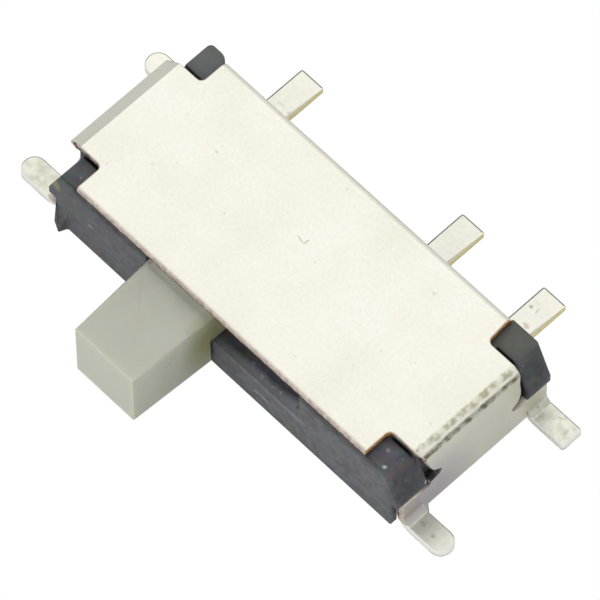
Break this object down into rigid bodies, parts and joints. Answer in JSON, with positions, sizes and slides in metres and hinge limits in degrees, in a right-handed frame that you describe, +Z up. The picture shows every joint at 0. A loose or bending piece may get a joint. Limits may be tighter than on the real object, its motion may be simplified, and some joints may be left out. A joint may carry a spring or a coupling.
{
  "type": "slide switch",
  "caption": "Side-actuated surface-mount slide switch: bent sheet-metal cover with feet, dark moulded base with locating pegs, pale sliding knob and tinned leads.",
  "frame": {"origin": "the middle of the body in the board's surface, which touches the base's underside, the feet and the lead tips", "axes": "+X along the body, the way the knob slides; -Y the way the knob points; +Y the way the leads point; +Z up, away from the board"},
  "size_m": [0.008, 0.0052, 0.0019],
  "materials": {
    "plated_steel": "bright silver plating over thin steel sheet",
    "black_resin": "satin dark grey glass-filled resin",
    "tinned_brass": "silver-bright tin plating over brass",
    "natural_resin": "milky, slightly translucent natural resin",
    "phosphor_bronze": "plain springy bronze strip"
  },
  "bodies": {
    "housing": {"cover": "plated_steel", "base": "black_resin", "left_terminal": "tinned_brass", "common_terminal": "tinned_brass", "right_terminal": "tinned_brass"},
    "carriage": {"slider": "natural_resin", "contact_spring": "phosphor_bronze"}
  },
  "joints": [
    {"name": "knob_slide", "type": "slide", "parent": "housing", "child": "carriage", "axis": [1, 0, 0], "range_m": [0, 0.0015]}
  ]
}
